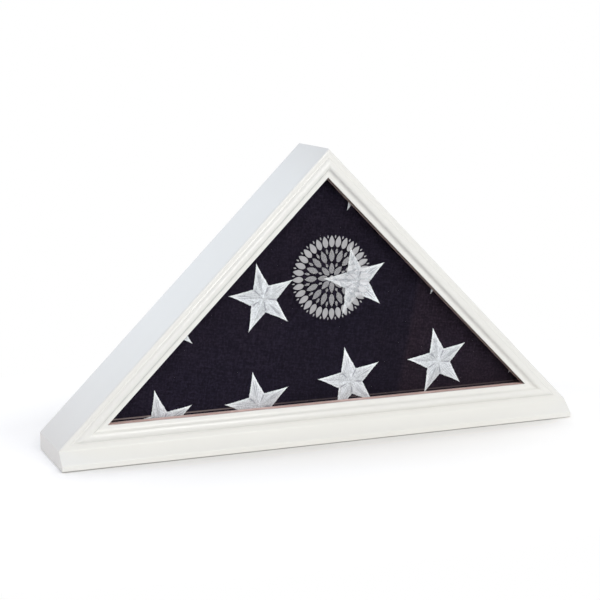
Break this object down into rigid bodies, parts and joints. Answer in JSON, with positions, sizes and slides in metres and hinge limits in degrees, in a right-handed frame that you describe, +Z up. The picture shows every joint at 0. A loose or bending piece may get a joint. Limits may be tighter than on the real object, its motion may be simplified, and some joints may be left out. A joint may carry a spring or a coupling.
{
  "type": "flag display case",
  "caption": "Triangular white wooden display case with a mitred ogee frame, glass front, bevelled plinth and hinged back, holding a flag folded into a triangle.",
  "frame": {"origin": "middle of the overall box, on the surface that the plinth stands on", "axes": "+X to the right as seen from the front, +Y from the glass front to the hinged back, +Z up"},
  "size_m": [0.632, 0.115, 0.3365],
  "materials": {
    "white_paint": "satin white lacquer on wood",
    "stop_wood": "brown stained wood",
    "bare_wood": "bare wood",
    "clear_glass": "clear float glass",
    "navy_cotton": "dark navy woven cotton",
    "star_thread": "white embroidery thread",
    "back_board": "brown fibreboard",
    "brass": "lacquered brass",
    "steel": "zinc plated steel",
    "plated_magnet": "nickel plated magnet"
  },
  "bodies": {
    "case": {"base_plinth": "white_paint", "plinth_screws": "steel", "bottom_panel": "white_paint", "side_panel_left": "white_paint", "side_panel_right": "white_paint", "mitre_splines": "bare_wood", "corner_block_left": "white_paint", "corner_block_right": "white_paint", "apex_block": "bare_wood", "frame_rail_left": "white_paint", "frame_rail_right": "white_paint", "frame_rail_bottom": "white_paint", "frame_corner_nails": "steel", "glass_pane": "clear_glass", "glazing_stop_left": "stop_wood", "glazing_stop_right": "stop_wood", "glazing_stop_bottom": "stop_wood", "glazing_brads": "steel", "folded_flag": "navy_cotton", "embroidered_stars": "star_thread", "catch_magnet": "plated_magnet", "hinge_case_leaf_left": "brass", "hinge_case_leaf_right": "brass", "hinge_pin_left": "brass", "hinge_pin_right": "brass", "hinge_case_screws": "brass"},
    "back_door": {"back_door_panel": "back_board", "hinge_door_leaf_left": "brass", "hinge_door_leaf_right": "brass", "hinge_door_screws": "brass", "catch_plate": "steel", "door_knob": "brass", "knob_screw": "steel"}
  },
  "joints": [
    {"name": "back_door_hinge", "type": "hinge", "parent": "case", "child": "back_door", "pos_m": [0, 0.0472, 0.0269], "axis": [-1, 0, 0], "range_deg": [0, 90]}
  ]
}
